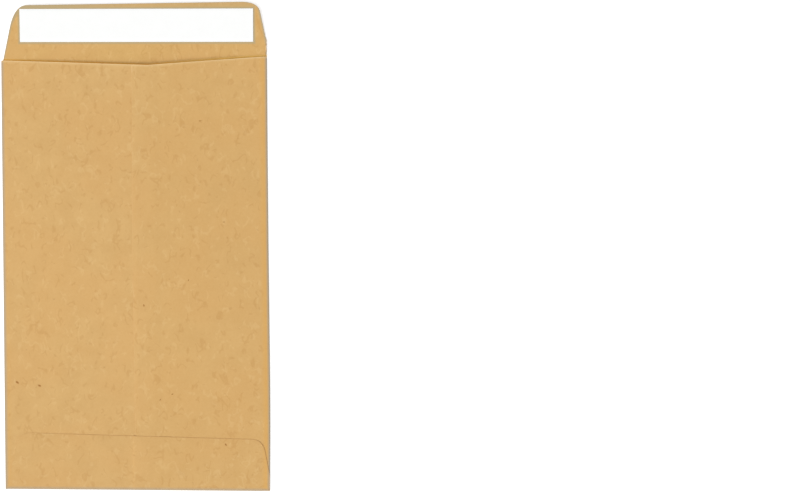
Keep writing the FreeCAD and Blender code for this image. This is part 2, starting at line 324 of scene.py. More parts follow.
def envelope_cut():
    """The whole sheet's cut outline on the flat pattern, anticlockwise."""
    seal_length = SEAL_FLAP_LENGTH + NICK_ROOT
    seal_flap = end_flap(SEAL_ROOT_Y, seal_length, 0, SEAL_LEFT_RUNS, SEAL_RIGHT_RUNS)[1:]
    chamfer = []
    for step in range(SIDE_BEND_STEPS + 1):
        share = step / SIDE_BEND_STEPS
        x = fold_point(LEFT_FOLD_X, 0, -1, LEFT_UNDER, share).x
        chamfer.append((LEFT_FOLD_X - BAND * share, SEAL_ROOT_Y + x - NICK_X))
    meet_x = NICK_X + throat(NICK_X) - SEAL_ROOT_Y
    return (
        [
            (left_u(LOWER_EDGE_X), PLY_END_Y),
            (left_u(NICK_X - SLIT), PLY_END_Y),
            (left_u(NICK_X - SLIT), -HALF_LENGTH),
            (NICK_X - SLIT, -HALF_LENGTH),
            (NICK_X - SLIT, PLY_END_Y - SLIT),
            (NICK_X, PLY_END_Y - SLIT),
        ]
        + bottom_flap_cut()
        + [
            (HALF_WIDTH, PLY_END_Y - SLIT),
            (RIGHT_FOLD_X, PLY_END_Y - SLIT),
            (RIGHT_FOLD_X, PLY_END_Y),
            (right_u(UPPER_EDGE_X), PLY_END_Y),
            (right_u(UPPER_EDGE_X), throat(UPPER_EDGE_X)),
            (right_u(THROAT_X), throat(THROAT_X)),
            (RIGHT_FOLD_X + BAND, throat(RIGHT_FOLD_X)),
            (RIGHT_FOLD_X + BAND, SHOULDER_TOP_Y),
            (RIGHT_FOLD_X, SHOULDER_END_Y),
        ]
        + seal_flap
        + chamfer
        + [
            (left_u(meet_x), throat(meet_x)),
            (left_u(THROAT_X), throat(THROAT_X)),
            (left_u(LOWER_EDGE_X), throat(LOWER_EDGE_X)),
        ]
    )


def clear_of(edge, points, gap):
    """Which points stay at least a gap away from a closed chain of edge points."""
    clear = np.ones(len(points), dtype=bool)
    for here, there in zip(edge, np.roll(edge, -1, axis=0)):
        along = there - here
        share = np.clip((points - here) @ along / (along @ along), 0, 1)
        away = points - here - share[:, None] * along
        clear &= np.hypot(away[:, 0], away[:, 1]) >= gap
    return clear


def spread(start, end, pitch):
    """Evenly spaced places from start to end, both included."""
    count = max(1, round(abs(end - start) / pitch))
    return [start + (end - start) * i / count for i in range(count + 1)]


def crossings(here, there, columns, rows):
    """How far along an edge, from 0 to 1, it starts and crosses each column and row."""
    shares = [0.0]
    for axis, lines in ((0, columns), (1, rows)):
        run = there[axis] - here[axis]
        if abs(run) > TINY:
            shares += [(line - here[axis]) / run for line in lines]
    kept = []
    length = (there - here).length
    for share in sorted(share for share in shares if 0 <= share < 1):
        far_enough = not kept or (share - kept[-1]) * length > SHORTEST_STEP
        if far_enough and (share == 0 or (1 - share) * length > SHORTEST_STEP):
            kept.append(share)
    return kept


def cut_paper(outline, columns, rows):
    """Triangles over a cut outline, with inner points where the columns and rows cross.

    A row of points follows the outline EDGE_STRIP inside it, so that the painted highlight and the
    dark of cut edges keep to the edge.
    """
    columns, rows = sorted(set(columns)), sorted(set(rows))
    edge_points, strip_points = [], []
    for here, there in zip(outline, outline[1:] + outline[:1]):
        here, there = Vector(here), Vector(there)
        along = (there - here).normalized()
        inward = Vector((-along.y, along.x)) * EDGE_STRIP
        for share in crossings(here, there, columns, rows):
            point = here.lerp(there, share)
            edge_points.append(point)
            strip_points.append(point + inward)
    edge = np.array([tuple(point) for point in edge_points])
    grid = np.array([(u, v) for u in columns for v in rows])
    strip = np.array([tuple(point) for point in strip_points])
    # Grid points close to that row are left out, and so are its own points near another edge
    grid_gap, strip_gap = EDGE_STRIP * 1.2, EDGE_STRIP * 0.98
    inner = [Vector(point) for point in grid[clear_of(edge, grid, grid_gap)]]
    inner += [Vector(point) for point in strip[clear_of(edge, strip, strip_gap)]]
    loop = list(range(len(edge_points)))
    inside_only, merging_gap = 1, 1e-5
    result = delaunay_2d_cdt(edge_points + inner, [], [loop], inside_only, merging_gap)
    points, triangles = result[0], result[2]
    used = sorted({index for triangle in triangles for index in triangle})
    renumbered = {old: new for new, old in enumerate(used)}
    return [points[i] for i in used], [[renumbered[i] for i in t] for t in triangles]


def paper_piece(name, cut, place, thickness, edge_light_and_shade):
    """Gives a cut sheet its thickness, lays it by place(u, v) and makes the object.

    Point attributes tell the materials, in millimetres, where each point was on the flat
    sheet (flat_place, with OUTER as the third number on the face that is folded outward), how
    far past the mouth's cut it lies (past_throat) and how far inside the nearer side fold
    (from_side). The attribute edge_light_and_shade is how much painted highlight (above 0) or
    dark (below 0) the paper gets at a cut edge, as the function edge_light_and_shade(u, v) gives
    it.
    """
    flat, triangles = cut
    # So small a reach stays on one side of a slit
    reach = SLIT / 5
    inner_skin, outer_skin = [], []
    for point in flat:
        u, v = point
        middle = place(u, v)
        across = place(u + reach, v) - place(u - reach, v)
        along = place(u, v + reach) - place(u, v - reach)
        normal = across.cross(along).normalized()
        inner_skin.append((middle + normal * thickness / 2) * MM)
        outer_skin.append((middle - normal * thickness / 2) * MM)
    count = len(flat)
    # A dict keeps the sides in order, so that every run makes the same mesh
    sides = {}
    for triangle in triangles:
        for a, b in zip(triangle, triangle[1:] + triangle[:1]):
            sides[(a, b)] = True
    rim = [(a, b) for a, b in sides if (b, a) not in sides]
    faces = [tuple(t) for t in triangles]
    faces += [tuple(count + i for i in reversed(t)) for t in triangles]
    faces += [(count + a, count + b, b, a) for a, b in rim]
    mesh = bpy.data.meshes.new(name)
    mesh.from_pydata(inner_skin + outer_skin, [], faces)
    mesh.polygons.foreach_set("use_smooth", [True] * len(faces))
    rim_edges = {tuple(sorted(side)) for side in rim}
    rim_edges |= {(a + count, b + count) for a, b in rim_edges}
    for edge in mesh.edges:
        if tuple(sorted(edge.vertices)) in rim_edges:
            edge.use_edge_sharp = True
    places = mesh.attributes.new("flat_place", "FLOAT_VECTOR", "POINT")
    near = [value for u, v in flat for value in (u, v, 0.0)]
    far = [value for u, v in flat for value in (u, v, OUTER)]
    places.data.foreach_set("vector", near + far)
    at_edge = {index for side in rim for index in side}
    edge_tones = [edge_light_and_shade(*flat[i]) if i in at_edge else 0.0 for i in range(count)]
    edge_tone_layer = mesh.attributes.new("edge_light_and_shade", "FLOAT", "POINT")
    edge_tone_layer.data.foreach_set("value", edge_tones + edge_tones)
    past = mesh.attributes.new("past_throat", "FLOAT", "POINT")
    points = inner_skin + outer_skin
    past.data.foreach_set("value", [point.y / MM - throat(point.x / MM) for point in points])
    inside = mesh.attributes.new("from_side", "FLOAT", "POINT")
    insides = [inside_fold(point.x / MM, point.y / MM) for point in points]
    inside.data.foreach_set("value", insides)
    mesh.validate()
    piece = bpy.data.objects.new(name, mesh)
    bpy.context.collection.objects.link(piece)
    return piece


def inside_fold(x, y):
    """How far a place lies inside the nearer side fold."""
    return HALF_WIDTH + (side_bow(y) if x > 0 else 0.0) - abs(x)


def envelope_edge_light_and_shade(u, v):
    """A painted highlight along the mouth's lips, weaker at the seam, and dark along the end
    flaps' edges, which at the bottom flap is a painted shadow.
    """
    if v < PLY_END_Y + 1:
        return -smooth((u - FLAP_SHADOW_START) / FLAP_SHADOW_RUN)
    if LEFT_FOLD_X - BAND <= u <= RIGHT_FOLD_X + BAND:
        return -1.0
    return 1.0 if v > HALF_LENGTH - 2 * THROAT_DEPTH else SEAM_HIGHLIGHT


def folded_envelope():
    """The one sheet of kraft paper, cut and folded."""
    lap_start = right_u(LOWER_EDGE_X + FINE_STRIP)
    columns = (
        spread(left_u(LOWER_EDGE_X), left_u(UPPER_EDGE_X), FINE_PITCH)
        + spread(left_u(UPPER_EDGE_X), LEFT_FOLD_X - BAND, PITCH)
        + spread(LEFT_FOLD_X - BAND, LEFT_FOLD_X, BAND / SIDE_BEND_STEPS)
        + spread(LEFT_FOLD_X, UPPER_EDGE_X - SEAM_RAMP, PITCH)
        + spread(UPPER_EDGE_X - SEAM_RAMP, UPPER_EDGE_X, SEAM_RAMP / RAMP_STEPS)
        + spread(UPPER_EDGE_X, RIGHT_FOLD_X, PITCH)
        + spread(RIGHT_FOLD_X, RIGHT_FOLD_X + BAND, BAND / SIDE_BEND_STEPS)
        + spread(RIGHT_FOLD_X + BAND, lap_start, PITCH)
        + spread(lap_start, right_u(UPPER_EDGE_X), FINEST_PITCH)
    )
    flap_end = 2 * PLY_END_Y - BAND + HALF_LENGTH - BOTTOM_FLAP_LENGTH
    rows = (
        spread(flap_end, PLY_END_Y - BAND, PITCH)
        + spread(PLY_END_Y - BAND, PLY_END_Y, BAND / BOTTOM_BEND_STEPS)
        + spread(PLY_END_Y, HALF_LENGTH - FINE_STRIP, PITCH)
        + spread(HALF_LENGTH - FINE_STRIP, HALF_LENGTH, FINE_PITCH)
        + spread(HALF_LENGTH, HALF_LENGTH + SEAL_FLAP_LENGTH, PITCH)
    )
    cut = cut_paper(envelope_cut(), columns, rows)
    return paper_piece("folded_envelope", cut, envelope_point, SHOWN_PAPER, envelope_edge_light_and_shade)


def liner_point(u, v):
    """Where the liner lies on the lifted flap; its free borders droop past the adhesive."""
    beyond = max(0.0, abs(v) - ADHESIVE_WIDTH / 2) / (LINER_WIDTH - ADHESIVE_WIDTH) * 2
    level = PAPER + ADHESIVE + LINER / 2 - LINER_DROOP * beyond * beyond
    turn_cos, turn_sin = math.cos(LINER_SKEW), math.sin(LINER_SKEW)
    x = (LINER_LEFT_X + LINER_RIGHT_X) / 2 + u * turn_cos + v * turn_sin
    y = HALF_LENGTH + LINER_MIDDLE - u * turn_sin + v * turn_cos
    return lifted(Vector((x, y, level)), y)


def peel_strip():
    """The white liner over the adhesive, cut square."""
    half_length, half_width = (LINER_RIGHT_X - LINER_LEFT_X) / 2, LINER_WIDTH / 2
    outline = [
        (-half_length, -half_width),
        (half_length, -half_width),
        (half_length, half_width),
        (-half_length, half_width),
    ]
    columns = spread(-half_length, half_length, PITCH)
    rows = spread(-half_width, half_width, FINEST_PITCH)
    cut = cut_paper(outline, columns, rows)
    return paper_piece("peel_strip", cut, liner_point, LINER, lambda u, v: -1.0)


# Shader building


class Nodes:
    """Short calls for adding and linking shader nodes in one tree."""

    def __init__(self, tree):
        self.tree = tree

    def add(self, kind, inputs=(), **settings):
        """A new node. Inputs maps socket names or numbers to values or to other sockets."""
        node = self.tree.nodes.new(kind)
        for key, value in settings.items():
            setattr(node, key, value)
        for key, value in dict(inputs).items():
            self.feed(node.inputs[key], value)
        return node

    def feed(self, socket, value):
        if isinstance(value, bpy.types.NodeSocket):
            self.tree.links.new(value, socket)
        else:
            socket.default_value = value

    def math(self, operation, first, second=0.0, third=0.0):
        inputs = {0: first, 1: second, 2: third}
        return self.add("ShaderNodeMath", inputs, operation=operation).outputs[0]

    def ramp(self, value, low, high, to_low=0.0, to_high=1.0):
        """Goes smoothly from to_low to to_high while the value goes from low to high."""
        inputs = {0: value, 1: low, 2: high, 3: to_low, 4: to_high}
        node = self.add("ShaderNodeMapRange", inputs, interpolation_type="SMOOTHSTEP")
        return node.outputs[0]

    def noise(self, place, scale, detail=2.0, roughness=0.5, distortion=0.0):
        inputs = {
            "Vector": place,
            "Scale": scale,
            "Detail": detail,
            "Roughness": roughness,
            "Distortion": distortion,
        }
        return self.add("ShaderNodeTexNoise", inputs).outputs[0]

    def move(self, place, offset):
        return self.add("ShaderNodeVectorMath", {0: place, 1: offset}, operation="ADD").outputs[0]

    def scale(self, place, factor):
        inputs = {0: place, "Scale": factor}
        return self.add("ShaderNodeVectorMath", inputs, operation="SCALE").outputs[0]

    def mix(self, share, first, second):
        """Blends two colours: the first at a share of 0, the second at 1."""
        node = self.add("ShaderNodeMix", data_type="RGBA")
        self.feed(node.inputs[0], share)
        self.feed(node.inputs[6], first)
        self.feed(node.inputs[7], second)
        return node.outputs[2]

    def bump(self, surface, height, strength, depth):
        """Gives a surface shader a fine relief, with its depth in millimetres."""
        inputs = {"Strength": strength, "Distance": depth * MM, "Height": height}
        relief = self.add("ShaderNodeBump", inputs)
        self.feed(surface.inputs["Normal"], relief.outputs[0])

    def read(self, attribute):
        """The outputs that read a point attribute of the mesh."""
        return self.add("ShaderNodeAttribute", attribute_name=attribute).outputs

    def parts(self, place):
        """The three numbers of a place."""
        return self.add("ShaderNodeSeparateXYZ", {0: place}).outputs

    def use(self, group, inputs):
        node = self.tree.nodes.new("ShaderNodeGroup")
        node.node_tree = group
        for key, value in inputs.items():
            self.feed(node.inputs[key], value)
        return node


def new_group(name, inputs, outputs):
    """An empty shader node group: the tree helper, its inputs and its output node."""
    tree = bpy.data.node_groups.new(name, "ShaderNodeTree")
    for socket_name, kind, value in inputs:
        socket = tree.interface.new_socket(socket_name, in_out="INPUT", socket_type=kind)
        if value is not None:
            socket.default_value = value
    for socket_name, kind in outputs:
        tree.interface.new_socket(socket_name, in_out="OUTPUT", socket_type=kind)
    nodes = Nodes(tree)
    return nodes, nodes.add("NodeGroupInput").outputs, nodes.add("NodeGroupOutput").inputs


FLOAT, VECTOR = "NodeSocketFloat", "NodeSocketVector"


def paper_formation_group():
    """Cloudy formation and fine tooth, as any paper has: sizes in millimetres."""
    nodes, given, out = new_group(
        "Paper formation",
        [("Place", VECTOR, None), ("Cloud Size", FLOAT, 6.0), ("Tooth Size", FLOAT, 0.5)],
        [("Clouds", FLOAT), ("Tooth", FLOAT)],
    )
    cloud_scale = nodes.math("DIVIDE", 1.0, given["Cloud Size"])
    clouds = nodes.noise(given["Place"], cloud_scale, detail=3.0, roughness=0.6)
    tooth_scale = nodes.math("DIVIDE", 1.0, given["Tooth Size"])
    moved = nodes.move(given["Place"], (37.0, 11.0, 5.0))
    tooth = nodes.noise(moved, tooth_scale, detail=4.0, roughness=0.65)
    nodes.feed(out["Clouds"], clouds)
    nodes.feed(out["Tooth"], tooth)
    return nodes.tree


def pulp_fibres_group():
    """Short curled fibres: broken level lines of a noise, as a mask from 0 to 1."""
    nodes, given, out = new_group(
        "Pulp fibres",
        [
            ("Place", VECTOR, None),
            ("Curl Size", FLOAT, 2.5),
            ("Thickness", FLOAT, 0.05),
            ("Share", FLOAT, 0.5),
        ],
        [("Fibres", FLOAT)],
    )
    curl_scale = nodes.math("DIVIDE", 1.0, given["Curl Size"])
    level = nodes.noise(given["Place"], curl_scale, detail=1.0, roughness=0.5, distortion=0.6)
    distance = nodes.math("ABSOLUTE", nodes.math("SUBTRACT", level, 0.5))
    line = nodes.math("DIVIDE", distance, given["Thickness"])
    line = nodes.ramp(line, 1.0, 0.2)
    moved = nodes.move(given["Place"], (-21.0, 43.0, 17.0))
    breaks = nodes.noise(moved, nodes.math("MULTIPLY", curl_scale, 1.3), detail=0.0)
    low = nodes.math("SUBTRACT", 0.72, nodes.math("MULTIPLY", given["Share"], 0.4))
    kept = nodes.ramp(breaks, low, nodes.math("ADD", low, 0.08))
    nodes.feed(out["Fibres"], nodes.math("MULTIPLY", line, kept))
    return nodes.tree


def bark_specks_group():
    """Sparse dark flecks of bark, one to a cell at most, as a mask from 0 to 1."""
    nodes, given, out = new_group(
        "Bark specks",
        [
            ("Place", VECTOR, None),
            ("Spacing", FLOAT, 3.0),
            ("Size", FLOAT, 0.1),
            ("Share", FLOAT, 0.1),
        ],
        [("Specks", FLOAT)],
    )
    inputs = {"Vector": given["Place"], "Scale": 0.9, "Detail": 1.0}
    warp = nodes.add("ShaderNodeTexNoise", inputs).outputs["Color"]
    place = nodes.move(given["Place"], nodes.scale(warp, 1.6))
    cell = nodes.add(
        "ShaderNodeTexVoronoi",
        {"Vector": place, "Scale": nodes.math("DIVIDE", 1.0, given["Spacing"])},
        voronoi_dimensions="2D",
    )
    tone = nodes.add("ShaderNodeSeparateColor", {0: cell.outputs["Color"]})
    size = nodes.math("MULTIPLY", given["Size"], nodes.ramp(tone.outputs[1], 0.0, 1.0, 0.4, 1.0))
    spot = nodes.ramp(nodes.math("DIVIDE", cell.outputs["Distance"], size), 1.0, 0.4)
    chosen = nodes.math("LESS_THAN", tone.outputs[0], given["Share"])
    nodes.feed(out["Specks"], nodes.math("MULTIPLY", spot, chosen))
    return nodes.tree


def lone_speck_group():
    """One fleck at a given place on the flat sheet, longer than wide, with a rough outline."""
    roughness = 0.35
    nodes, given, out = new_group(
        "Lone speck",
        [
            ("Place", VECTOR, None),
            ("Centre", VECTOR, None),
            ("Turn", FLOAT, 0.0),
            ("Half Length", FLOAT, 0.5),
            ("Half Width", FLOAT, 0.25),
        ],
        [("Speck", FLOAT)],
    )
    inputs = {"Vector": given["Place"], "Scale": 2.5, "Detail": 1.0}
    rough = nodes.add("ShaderNodeTexNoise", inputs).outputs["Color"]
    shift = nodes.scale(rough, roughness)
    shift = nodes.move(shift, (-roughness / 2, -roughness / 2, 0.0))
    inputs = {0: given["Place"], 1: given["Centre"]}
    away = nodes.add("ShaderNodeVectorMath", inputs, operation="SUBTRACT").outputs[0]
    away = nodes.move(away, shift)
    turned = nodes.add(
        "ShaderNodeVectorRotate",
        {"Vector": away, "Angle": given["Turn"]},
        rotation_type="Z_AXIS",
    )
    part = nodes.parts(turned.outputs[0])
    along = nodes.math("POWER", nodes.math("DIVIDE", part[0], given["Half Length"]), 2.0)
    across = nodes.math("POWER", nodes.math("DIVIDE", part[1], given["Half Width"]), 2.0)
    distance = nodes.math("SQRT", nodes.math("ADD", along, across))
    nodes.feed(out["Speck"], nodes.ramp(distance, 1.1, 0.3))
    return nodes.tree


# Each group is built once, and every material that needs it places it with its own values
FORMATION = paper_formation_group()
FIBRES = pulp_fibres_group()
SPECKS = bark_specks_group()
LONE_SPECK = lone_speck_group()

# The paper's colours, in linear light: its two faces from their darkest to their palest cloud,
# then broad patches, the painted shade on the right half, and the pale tooth, which also paints
# the lip's highlight
INNER_TONES = (0.650, 0.392, 0.135, 1), (0.684, 0.420, 0.149, 1)
OUTER_TONES = (0.660, 0.403, 0.153, 1), (0.696, 0.433, 0.169, 1)
WARM_PATCH = (0.69, 0.405, 0.15, 1)
PAINTED_SHADE_AT_RIGHT = (0.64, 0.38, 0.13, 1)
PALE_TOOTH_AND_LIP_HIGHLIGHT = (0.90, 0.66, 0.34, 1)

# Those along the folds, the lip and the flap's outline, and those of the cut edges' painted
# highlight and dark
WARM_FOLD = (0.72, 0.408, 0.12, 1)
# Painted shade along the folds' very edge
PAINTED_SHADE_ON_FOLD_EDGE = (0.47, 0.37, 0.25, 1)
# Painted warm light under and just past the lip, in its shadow
PAINTED_LIGHT_UNDER_LIP = (1.0, 0.54, 0.085, 1)
PAINTED_LIGHT_UNDER_LIP_AT_ENDS = (1.0, 0.63, 0.15, 1)
# The flap's grey outline, and painted shade close round the peel strip
DULL_FLAP_AND_LINER_SHADE = (0.505, 0.385, 0.205, 1)
# Painted highlight along the lips and the seam
PAINTED_EDGE_HIGHLIGHT = (0.95, 0.72, 0.42, 1)
# The dark of cut edges, which along the bottom flap's edge is painted shadow
DARK_INNER_EDGE = (0.47, 0.365, 0.23, 1)
DARK_OUTER_EDGE = (0.605, 0.34, 0.127, 1)

# Layers of fibres: how far the pattern is moved, curl size, thickness, share of the lines kept,
# colour and its strength, and how much they stand out of the paper
FIBRE_LAYERS = [
    ((0.0, 0.0, 0.0), 3.0, 0.065, 0.4, (0.47, 0.22, 0.05, 1), 0.205, 0.25),
    ((113.0, 57.0, 3.0), 2.6, 0.075, 0.4, (0.86, 0.62, 0.30, 1), 0.155, 0.0),
    ((-71.0, 31.0, 3.0), 0.9, 0.06, 0.7, (0.48, 0.24, 0.05, 1), 0.06, 0.2),
]

# Bark is dark, and strong only in the flecks that catch the eye on the back. For each of those:
# x and y on the folded body, half length, half width, and the turn of the long side from +X in
# degrees
BARK = (0.28, 0.085, 0.006, 1)
SPECK_STRENGTH = 0.15
LONE_SPECK_STRENGTH = 0.7
LONE_SPECKS = [
    (-34.4, -30.8, 0.72, 0.37, -35.0),
    (-27.9, -31.7, 0.66, 0.37, -25.0),
    (2.8, -8.7, 0.46, 0.26, 100.0),
    (19.3, 43.4, 0.55, 0.17, 5.0),
    (10.6, -34.0, 0.45, 0.16, 20.0),
    (7.1, -35.6, 0.4, 0.14, 40.0),
    (25.7, -48.3, 0.55, 0.25, -60.0),
    (25.8, 14.8, 0.45, 0.17, 0.0),
    (15.6, -1.6, 0.4, 0.16, 70.0),
]


def on_pattern(x, y):
    """Where a place seen on the back lies on the flat pattern."""
    if y < BOTTOM_FLAP_LENGTH - HALF_LENGTH:
        return (x, 2 * PLY_END_Y - BAND - y, OUTER)
    if x < UPPER_EDGE_X:
        return (left_u(x), y, OUTER)
    return (right_u(x), y, OUTER)


def by_face(nodes, side, inner, outer):
    """One number on the paper's inner face and another on its outer face."""
    return nodes.ramp(side, OUTER / 2 - 0.5, OUTER / 2 + 0.5, inner, outer)


def new_material(name):
    """A material with a surface shader: itself, the tree helper and the shader."""
    material = bpy.data.materials.new(name)
    material.use_nodes = True
    material.node_tree.nodes.clear()
    nodes = Nodes(material.node_tree)
    surface = nodes.add("ShaderNodeBsdfPrincipled")
    output = nodes.add("ShaderNodeOutputMaterial", {"Surface": surface.outputs[0]})
    output.is_active_output = True
    return material, nodes, surface


def toned_folds(nodes, tone):
    """Paints shade along the very edge of the side folds and the bottom fold, and warms them
    inside it.
    """
    across, along = nodes.parts(nodes.add("ShaderNodeTexCoord").outputs["Object"])[:2]
    left_x, right_x = -30 * MM, 30 * MM
    inside = nodes.read("from_side")["Fac"]
    warm = nodes.math("MULTIPLY", nodes.ramp(inside, 0.3, 1.0), nodes.ramp(inside, 2.6, 1.1))
    warm = nodes.math("MULTIPLY", warm, nodes.ramp(across, left_x, right_x, 0.18, 0.7))
    on_body = nodes.ramp(along, HALF_LENGTH * MM, (HALF_LENGTH - 1.0) * MM)
    warm = nodes.math("MULTIPLY", warm, on_body)
    tone = nodes.mix(warm, tone, WARM_FOLD)
    # The painted shade is widest at the left and narrowest at the right, and weaker on the seal
    # flap
    side_share, end_share, flap_share = nodes.ramp(across, left_x, right_x, 0.7, 1.0), 0.75, 0.35
    from_side = nodes.math("MULTIPLY", inside, side_share)
    from_end = nodes.math("MULTIPLY_ADD", along, end_share / MM, end_share * HALF_LENGTH)
    grey = nodes.ramp(nodes.math("MINIMUM", from_side, from_end), 0.9, 0.0)
    grey = nodes.math("MULTIPLY", grey, nodes.math("MAXIMUM", on_body, flap_share))
    return nodes.mix(grey, tone, PAINTED_SHADE_ON_FOLD_EDGE)


def painted_light_at_throat(nodes, tone, place):
    """Paints warm light on the inner face under and just past the lip, where the lip shades it,
    and a highlight on the lip's outer face.
    """
    past = nodes.read("past_throat")["Fac"]
    u, side = nodes.parts(place)[0], nodes.parts(place)[2]
    # Painted warm light on the inner face under and just past the lip, where its shadow falls
    beside = nodes.math("MULTIPLY", nodes.ramp(past, 0.7, 0.1), nodes.ramp(past, -5.0, -2.0))
    beside = nodes.math("MULTIPLY", beside, by_face(nodes, side, 0.92, 0.0))
    at_right, at_left = nodes.ramp(u, 2.0, 18.0), nodes.ramp(u, -34.0, -37.5, 0.0, 0.35)
    glow = nodes.mix(nodes.math("MAXIMUM", at_right, at_left), PAINTED_LIGHT_UNDER_LIP, PAINTED_LIGHT_UNDER_LIP_AT_ENDS)
    tone = nodes.mix(beside, tone, glow)
    on_back = nodes.ramp(nodes.math("ABSOLUTE", u), HALF_WIDTH + 0.4, HALF_WIDTH + 0.8)
    # A painted highlight on the lip's outer face, just short of its cut
    lip = nodes.math("MULTIPLY", nodes.ramp(past, -1.0, -0.1), by_face(nodes, side, 0.0, 0.25))
    return nodes.mix(nodes.math("MULTIPLY", lip, on_back), tone, PALE_TOOTH_AND_LIP_HIGHLIGHT)


def dulled_flap(nodes, tone, place):
    """Greys the seal flap along its outline, and paints shade closely round the peel strip."""
    u, v, side = nodes.parts(place)
    inner_face = by_face(nodes, side, 1.0, 0.0)
    past_root = nodes.math("SUBTRACT", v, SEAL_ROOT_Y)
    end_strip = nodes.ramp(past_root, SEAL_FLAP_LENGTH - 2.4, SEAL_FLAP_LENGTH - 1.0)
    end_strip = nodes.math("MULTIPLY", end_strip, nodes.ramp(u, -30.0, 5.0, 1.0, 0.35))
    from_nick = nodes.math("SUBTRACT", u, NICK_X)
    left_side = nodes.math("MULTIPLY_ADD", past_root, -LEFT_TAPER, from_nick)
    from_shoulder = nodes.math("SUBTRACT", SHOULDER_X, u)
    right_side = nodes.math("MULTIPLY_ADD", past_root, -RIGHT_TAPER, from_shoulder)
    # The soft corner lies further in than the straight side
    left_side = nodes.math("SUBTRACT", left_side, nodes.ramp(past_root, 9.2, 15.4, 0.0, 1.6))
    on_flap = nodes.ramp(past_root, 0.0, 0.6)
    left_strip = nodes.math("MULTIPLY", nodes.ramp(left_side, 0.8, 0.1), on_flap)
    left_strip = nodes.math("MULTIPLY", left_strip, nodes.ramp(past_root, 2.0, 10.0, 0.6, 1.0))
    right_strip = nodes.math("MULTIPLY", nodes.ramp(right_side, 0.8, 0.1), on_flap)
    # Painted shade closely round the peel strip
    middle_u = (LINER_LEFT_X + LINER_RIGHT_X) / 2
    from_middle = nodes.math("SUBTRACT", u, middle_u)
    beside = nodes.math("SUBTRACT", nodes.math("ABSOLUTE", from_middle), LINER_RIGHT_X - middle_u)
    level = nodes.math("SUBTRACT", v, HALF_LENGTH + LINER_MIDDLE)
    level = nodes.math("MULTIPLY_ADD", from_middle, math.tan(LINER_SKEW), level)
    beyond = nodes.math("SUBTRACT", nodes.math("ABSOLUTE", level), LINER_WIDTH / 2)
    dull = nodes.ramp(nodes.math("MAXIMUM", beside, beyond), 0.85, 0.2)
    for strip in (end_strip, left_strip, right_strip):
        dull = nodes.math("MAXIMUM", dull, strip)
    return nodes.mix(nodes.math("MULTIPLY", dull, inner_face), tone, DULL_FLAP_AND_LINER_SHADE)


def kraft_paper():
    """Brown kraft paper: warm, matt and cloudy, with curled fibres and flecks of bark."""
    material, nodes, surface = new_material("kraft_paper")
    place = nodes.read("flat_place")["Vector"]
    side = nodes.parts(place)[2]
    formation = nodes.use(FORMATION, {"Place": place, "Cloud Size": 5.0, "Tooth Size": 0.55})
    clouds, tooth = nodes.ramp(formation.outputs["Clouds"], 0.3, 0.7), formation.outputs["Tooth"]
    inner_tone = nodes.mix(clouds, *INNER_TONES)
    outer_tone = nodes.mix(clouds, *OUTER_TONES)
    tone = nodes.mix(by_face(nodes, side, 0.0, 1.0), inner_tone, outer_tone)
    hue = nodes.noise(nodes.move(place, (5.0, -60.0, 2.0)), 0.07, detail=1.0)
    tone = nodes.mix(nodes.ramp(hue, 0.35, 0.65, 0.0, 0.5), tone, WARM_PATCH)
    across = nodes.parts(nodes.add("ShaderNodeTexCoord").outputs["Object"])[0]
    # Painted shade: the right half of the body is made a little darker
    tone = nodes.mix(nodes.ramp(across, 0.0, 8.0 * MM, 0.0, 0.24), tone, PAINTED_SHADE_AT_RIGHT)
    tone = nodes.mix(nodes.ramp(tooth, 0.35, 0.65, 0.0, 0.045), tone, PALE_TOOTH_AND_LIP_HIGHLIGHT)

    # The fibres lie a little more along the sheet than across it
    inputs = {0: place, 1: (1.06, 0.78, 1.0)}
    grain = nodes.add("ShaderNodeVectorMath", inputs, operation="MULTIPLY").outputs[0]
    height = nodes.math("MULTIPLY", tooth, 0.6)
    for offset, curl, thickness, share, colour, strength, relief in FIBRE_LAYERS:
        fibres = nodes.use(
            FIBRES,
            {
                "Place": nodes.move(grain, offset),
                "Curl Size": curl,
                "Thickness": thickness,
                "Share": share,
            },
        ).outputs[0]
        tone = nodes.mix(nodes.math("MULTIPLY", fibres, strength), tone, colour)
        if relief:
            height = nodes.math("ADD", height, nodes.math("MULTIPLY", fibres, relief))

    inputs = {"Place": place, "Spacing": 2.8, "Size": 0.12, "Share": 0.12}
    marks = nodes.math("MULTIPLY", nodes.use(SPECKS, inputs).outputs[0], SPECK_STRENGTH)
    for x, y, half_length, half_width, turn in LONE_SPECKS:
        speck = nodes.use(
            LONE_SPECK,
            {
                "Place": place,
                "Centre": on_pattern(x, y),
                "Turn": math.radians(turn),
                "Half Length": half_length,
                "Half Width": half_width,
            },
        ).outputs[0]
        speck = nodes.math("MULTIPLY", speck, LONE_SPECK_STRENGTH)
        marks = nodes.math("MAXIMUM", marks, speck)
    tone = nodes.mix(marks, tone, BARK)

    tone = dulled_flap(nodes, tone, place)
    tone = toned_folds(nodes, tone)
    tone = painted_light_at_throat(nodes, tone, place)
    # The cut edges' painted highlight, then their dark, which along the bottom flap is painted
    # shadow
    edge_tones = nodes.read("edge_light_and_shade")["Fac"]
    tone = nodes.mix(nodes.ramp(edge_tones, 0.0, 1.0, 0.0, 0.4), tone, PAINTED_EDGE_HIGHLIGHT)
    dark = nodes.mix(by_face(nodes, side, 0.0, 1.0), DARK_INNER_EDGE, DARK_OUTER_EDGE)
    tone = nodes.mix(nodes.ramp(edge_tones, 0.0, -1.0, 0.0, 0.8), tone, dark)

    nodes.feed(surface.inputs["Base Color"], tone)
    nodes.feed(surface.inputs["Roughness"], nodes.ramp(tooth, 0.3, 0.7, 0.92, 0.78))
    surface.inputs["Specular IOR Level"].default_value = 0.2
    nodes.bump(surface, height, 0.5, 0.02)
    return material


